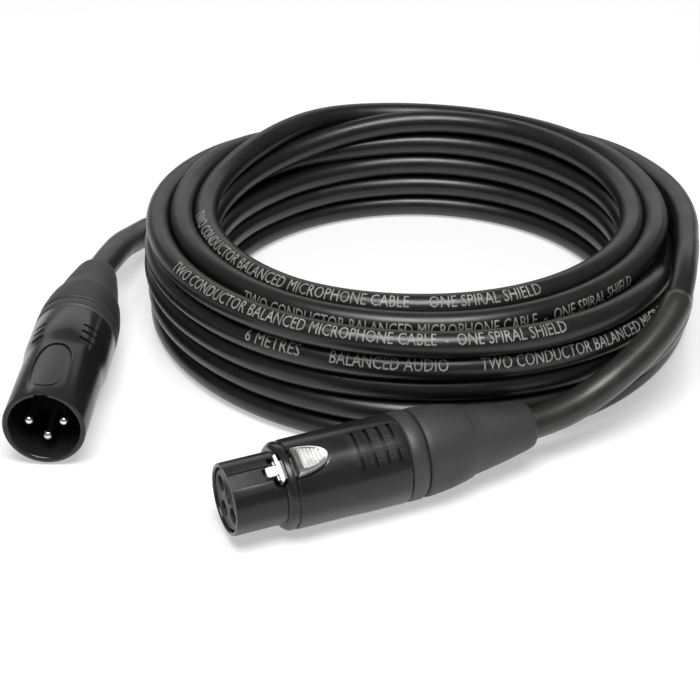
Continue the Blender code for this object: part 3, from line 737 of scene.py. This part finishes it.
def latch_tab(clearance, layers, dish=None):
    """The latch's tab, a D seen from above: layers are (height, share of the outline), lowest first.
    dish is the height of the middle of its top, or None for a flat one."""
    front, half = TAB_FRONT + clearance, TAB_HALF + clearance
    length = TAB_LENGTH + 2 * clearance
    middle = front - 0.42 * length
    bm = bmesh.new()
    rings, count = [], 28
    for height, share in layers:
        ring = []
        for i in range(count + 1):
            a = math.pi * i / count
            x, y = front - length * math.sin(a), half * math.cos(a)
            ring.append(bm.verts.new((middle + (x - middle) * share, y * share, height)))
        for k in range(1, 6):
            y = half * (-1 + k / 3)
            ring.append(bm.verts.new((middle + (front - middle) * share, y * share, height)))
        rings.append(ring)
    total = len(rings[0])
    for a, b in zip(rings, rings[1:]):
        for i in range(total):
            j = (i + 1) % total
            bm.faces.new((a[i], a[j], b[j], b[i]))
    bm.faces.new(rings[0])
    if dish is None:
        bm.faces.new(rings[-1])
    else:
        centre = bm.verts.new((middle, 0, dish))
        for i in range(total):
            bm.faces.new((rings[-1][i], rings[-1][(i + 1) % total], centre))
    return bm


def female_insert():
    step, rear, radius, wide = -13.7, -26.0, 6.7, 8.3
    outline = [
        (-0.62, 0.0), (-0.62, 5.9), (-0.5, 6.0), (-0.5, 6.45), (-0.7, radius), (step, radius),
        (step, wide), (rear, wide), (rear, 0.0),
    ]
    places = ((CONTACT, 0), (-CONTACT, 0), (0, -CONTACT))
    changes = [("DIFFERENCE", drill_bit(y, z, 1.85)) for y, z in places]
    # Room for the latch and for its nib, and the dimple in the middle of the face.
    changes.append(("DIFFERENCE", box((-27.0, -4.2, 4.8), (-8.8, 4.2, 9.0))))
    changes.append(("DIFFERENCE", box((-9.2, -1.5, 4.8), (-7.6, 1.5, 9.0))))
    changes.append(("DIFFERENCE", drill_bit(0, 0, 0.55, 3.0)))
    insert = carved(lathe(outline), *changes)
    piece("female_insert_detailed", insert, FEMALE_PLACE, "insert_grey", "dark_grey_plastic", "female_insert")


def female_sockets():
    cup = -26.3
    outline = [
        (-2.9, 1.3), (-2.95, 1.42), (-3.1, 1.52), (-3.4, 1.55), (cup, 1.55), (cup, 1.3), (cup - 4.0, 1.3),
        (cup - 4.0, 0.9), (cup - 1.0, 0.9), (cup - 1.0, 0.0), (-18.0, 0.0), (-17.0, 1.25), (-3.2, 1.25),
    ]
    for i, (y, z) in enumerate(((CONTACT, 0), (-CONTACT, 0), (0, -CONTACT))):
        bm = lathe(outline, SMALL_ROUND)
        bmesh.ops.translate(bm, verts=bm.verts, vec=(0, y, z))
        name = f"female_socket_{i + 1}"
        piece(name + "_detailed", bm, FEMALE_PLACE, "contact", "contact", name)


def latch_lever():
    """The lever: a bar with its eye, the hook across its front, the square nib and the domed tab with
    its grip ridges."""
    pivot_x, pivot_z, eye = -29.5, 6.5, 1.45
    arc = [math.radians(45 + 270 * i / 24) for i in range(25)]
    profile = [(pivot_x + eye * math.cos(a), pivot_z + eye * math.sin(a)) for a in arc]
    profile += [
        (pivot_x + 1.6, 6.7), (-11.3, 6.7), (-11.3, 7.15), (-10.2, 7.15), (-10.2, 8.0),
        (pivot_x + 1.6, 8.0),
    ]
    bm = bmesh.new()
    face = bm.faces.new([bm.verts.new((x, -2.2, z)) for x, z in profile])
    grown = bmesh.ops.extrude_face_region(bm, geom=[face])["geom"]
    bmesh.ops.translate(bm, verts=[v for v in grown if isinstance(v, bmesh.types.BMVert)], vec=(0, 4.4, 0))
    hook = box((-11.1, -3.3, 7.15), (-10.45, 3.3, 9.5))
    bmesh.ops.bevel(hook, geom=hook.edges[:], offset=0.22, segments=2, affect="EDGES")
    nib = box((-10.6, -1.1, 7.4), (-8.2, 1.1, 8.5))
    bmesh.ops.bevel(nib, geom=nib.edges[:], offset=0.2, segments=2, affect="EDGES")
    tab = latch_tab(
        0.0,
        (
            (7.9, 1.0), (10.55, 1.0), (10.85, 0.975), (11.05, 0.93), (11.15, 0.88), (11.12, 0.82),
            (10.98, 0.74),
        ),
        dish=10.92,
    )
    bore = lathe([(-3, 0), (-3, 0.9), (3, 0.9), (3, 0)], 24)
    bmesh.ops.rotate(bore, verts=bore.verts, cent=(0, 0, 0), matrix=Matrix.Rotation(math.pi / 2, 3, "Z"))
    bmesh.ops.translate(bore, verts=bore.verts, vec=(pivot_x, 0, pivot_z))
    ridges = [
        ("DIFFERENCE", box((x - 0.14, -half, 10.72), (x + 0.14, half, 11.6)))
        for x, half in ((-15.7, 2.1), (-16.5, 2.1), (-17.3, 2.1), (-18.1, 2.0), (-18.9, 1.8), (-19.7, 1.4))
    ]
    lever = carved(bm, ("UNION", hook), ("UNION", nib), ("UNION", tab), ("DIFFERENCE", bore), *ridges)
    piece(
        "latch_lever_detailed", lever, FEMALE_PLACE, "latch", "latch", "latch_lever",
        body="latch", sharp=28.0,
    )


# ------------------------------------------------------------------ the cable, its sleeves and its print
line, coil_first, coil_last = cable_line()
run = np.concatenate([[0], np.cumsum(np.linalg.norm(np.diff(line, axis=0), axis=1))])


SLEEVE = 3.62  # radius over the heat-shrink tube, mm
SLEEVE_GAP = 0.08  # between it and the jacket
SLEEVE_EDGE = 0.30  # how much thinner it is at its two ends


def sleeve(side, first, last, replaced):
    """Heat-shrink tube over the cable between two distances along it, in mm."""
    at = np.linspace(first, last, 48)
    middle = np.stack([np.interp(at, run, line[:, k]) for k in range(3)], axis=1)
    _, out, up = frames_along(middle)
    turn = np.linspace(0, 2 * np.pi, 40, endpoint=False)
    ring = np.cos(turn)[None, :, None] * out[:, None] + np.sin(turn)[None, :, None] * up[:, None]
    u = (at - first) / (last - first)
    outer = SLEEVE - SLEEVE_EDGE * eased((np.abs(u - 0.5) - 0.47) / 0.03)
    layers = [np.full(len(at), CABLE + SLEEVE_GAP), outer]
    bm = bmesh.new()
    shells = []
    for radius in layers:
        points = middle[:, None] + radius[:, None, None] * ring
        shells.append([[bm.verts.new(p * MM) for p in row] for row in points])
    inner, over = shells
    strips = [*zip(inner, inner[1:]), *zip(over, over[1:]), (inner[0], over[0]), (inner[-1], over[-1])]
    for a, b in strips:
        for i in range(len(a)):
            j = (i + 1) % len(a)
            bm.faces.new((a[i], a[j], b[j], b[i]))
    bmesh.ops.recalc_face_normals(bm, faces=bm.faces)
    mesh = bpy.data.meshes.new(f"{side}_sleeve_detailed")
    bm.to_mesh(mesh)
    bm.free()
    mesh.materials.append(LOOKS["sleeve"])
    mesh.shade_smooth()
    obj = bpy.data.objects.new(mesh.name, mesh)
    scene.collection.objects.link(obj)
    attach(obj, "cable")
    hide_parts(replaced)


PRINT = (
    # place in the coil, how far up the cable's side, first and last angle of the words, the words
    ("top_1", 54.0, -173.0, -62.0, "TWO CONDUCTOR BALANCED MICROPHONE CABLE  -  ONE SPIRAL SHIELD"),
    ("top_2", 6.0, -133.0, -39.0, "TWO CONDUCTOR BALANCED MICROPHONE CABLE  -  ONE SPIRAL SHIELD"),
    ("outer_5", 54.0, -150.0, -64.0, "TWO CONDUCTOR BALANCED MICROPHONE CABLE  -  ONE SPIRAL SHIELD"),
    ("outer_4", 40.0, -127.0, -115.0, "6 METRES"),
    ("outer_4", 40.0, -109.0, -87.0, "BALANCED AUDIO"),
    ("outer_4", 40.0, -81.0, 5.0, "TWO CONDUCTOR BALANCED MICROPHONE CABLE  -  ONE SPIRAL SHIELD"),
)
PRINT_HEIGHT = 3.0  # of the letters, mm round the cable
PRINT_SUNK, PRINT_THICK = 0.03, 0.055  # how deep the letters reach into the jacket, and their thickness
STRIPS = 8  # that the letters are cut into, so that they can bend round the cable


def lettering(words):
    """The words as a thin closed solid, in a bmesh: x and z from 0 to 1, letters 1 high about y = 0."""
    text = bpy.data.curves.new("words", "FONT")
    text.body = words
    text.extrude = 0.02
    text.resolution_u = 2
    obj = bpy.data.objects.new("words", text)
    scene.collection.objects.link(obj)
    bpy.context.view_layer.update()
    mesh = bpy.data.meshes.new_from_object(obj.evaluated_get(bpy.context.evaluated_depsgraph_get()))
    bpy.data.objects.remove(obj)
    bpy.data.curves.remove(text)
    bm = bmesh.new()
    bm.from_mesh(mesh)
    bpy.data.meshes.remove(mesh)
    bmesh.ops.remove_doubles(bm, verts=bm.verts, dist=1e-5)
    xs = [v.co.x for v in bm.verts]
    ys = [v.co.y for v in bm.verts]
    low, high = min(ys), max(ys)
    for v in bm.verts:
        v.co.x = (v.co.x - min(xs)) / (max(xs) - min(xs))
        v.co.y = (v.co.y - (low + high) / 2) / (high - low)
        v.co.z = 0.0 if v.co.z < 0 else 1.0
    for k in range(1, STRIPS):
        everything = bm.verts[:] + bm.edges[:] + bm.faces[:]
        bmesh.ops.bisect_plane(bm, geom=everything, plane_co=(0, k / STRIPS - 0.5, 0), plane_no=(0, 1, 0))
    return bm


def print_words(place, tilt, first, last, words, index):
    """Words printed along one turn of the cable, read with the angle growing. tilt is how far above the
    cable's outer side their middle lies, in degrees."""
    turn = [name for name, _ in ORDER].index(place)
    bm = lettering(words)
    angles, _ = coil_targets()
    coil_run = run[coil_first : coil_last + 1 : STEPS]
    at = ENTRY
    for _, leaves in ORDER[:turn]:
        at -= (at - leaves) % 360.0 or 360.0
    ends = [at - (at - angle) % 360.0 for angle in (first, last)]
    where = [np.interp(-a, -angles, coil_run) for a in ends]
    _, out, up = frames_along(line)
    co = np.array([v.co for v in bm.verts])
    s = where[0] + (where[1] - where[0]) * co[:, 0]

    def at_letters(field):
        return np.stack([np.interp(s, run, field[:, k]) for k in range(3)], axis=1)

    centre, o, u = at_letters(line), at_letters(out), at_letters(up)
    tilt = math.radians(tilt) + co[:, 1] * PRINT_HEIGHT / CABLE
    radius = CABLE - PRINT_SUNK + PRINT_THICK * co[:, 2]
    places = centre + radius[:, None] * (np.cos(tilt)[:, None] * o + np.sin(tilt)[:, None] * u)
    for v, p in zip(bm.verts, places):
        v.co = p * MM
    bmesh.ops.recalc_face_normals(bm, faces=bm.faces)
    mesh = bpy.data.meshes.new(f"cable_print_{index}")
    bm.to_mesh(mesh)
    bm.free()
    mesh.materials.append(LOOKS["print"])
    obj = bpy.data.objects.new(mesh.name, mesh)
    scene.collection.objects.link(obj)
    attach(obj, "cable")


cable = tube_mesh("cable", line, CABLE, 28, LOOKS["jacket"])
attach(cable, "cable")
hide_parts("cable_coil", "cable_lead_male", "cable_lead_female")

male_shell()
male_insert()
male_pins()
female_shell()
female_insert()
female_sockets()
latch_lever()
coding_ring("male", MALE_RING, MALE_PLACE)
coding_ring("female", FEMALE_RING, FEMALE_PLACE)
boot("male", MALE_RING, MALE_PLACE)
boot("female", FEMALE_RING, FEMALE_PLACE)
sleeve("male", 16.5, 72.0, "male_sleeve")
sleeve("female", run[-1] - 86.0, run[-1] - 16.5, "female_sleeve")
for number, words in enumerate(PRINT):
    print_words(*words, number + 1)

# The CAD nodes that are not replaced: how the node's name ends, and its look.
CARRIED = {
    "chuck": "chuck", "latch_pin": "contact", "latch_spring": "spring",
    "conductor_1": "braid", "conductor_2": "red_wire", "conductor_3": "white_wire",
}
for node_name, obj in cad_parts.items():
    for key, look in CARRIED.items():
        if node_name.endswith(key):
            obj.data.materials.clear()
            obj.data.materials.append(LOOKS[look])

# ------------------------------------------------------------------ the studio
floor_mat = material(
    "studio_floor", (0.55, 0.55, 0.55), 0.25, Emission_Color=(1, 1, 1, 1), Emission_Strength=0.45
)
floor = mesh_object(
    "studio_floor", [(-3, -3, 0), (3, -3, 0), (3, 3, 0), (-3, 3, 0)], [(0, 1, 2, 3)], floor_mat
)
world = bpy.data.worlds.new("studio_world")
world.use_nodes = True
world.node_tree.nodes["Background"].inputs["Color"].default_value = (1, 1, 1, 1)
world.node_tree.nodes["Background"].inputs["Strength"].default_value = 0.19
scene.world = world
area_light("overhead_softbox", (0.46, 0.34), 6.4, (0.0, -0.27, 0.68), (0.01, 0.0, 0))
area_light("back_softbox", (1.8, 0.5), 2.6, (0.0, 1.1, 0.55), (0.01, 0.02, 0))
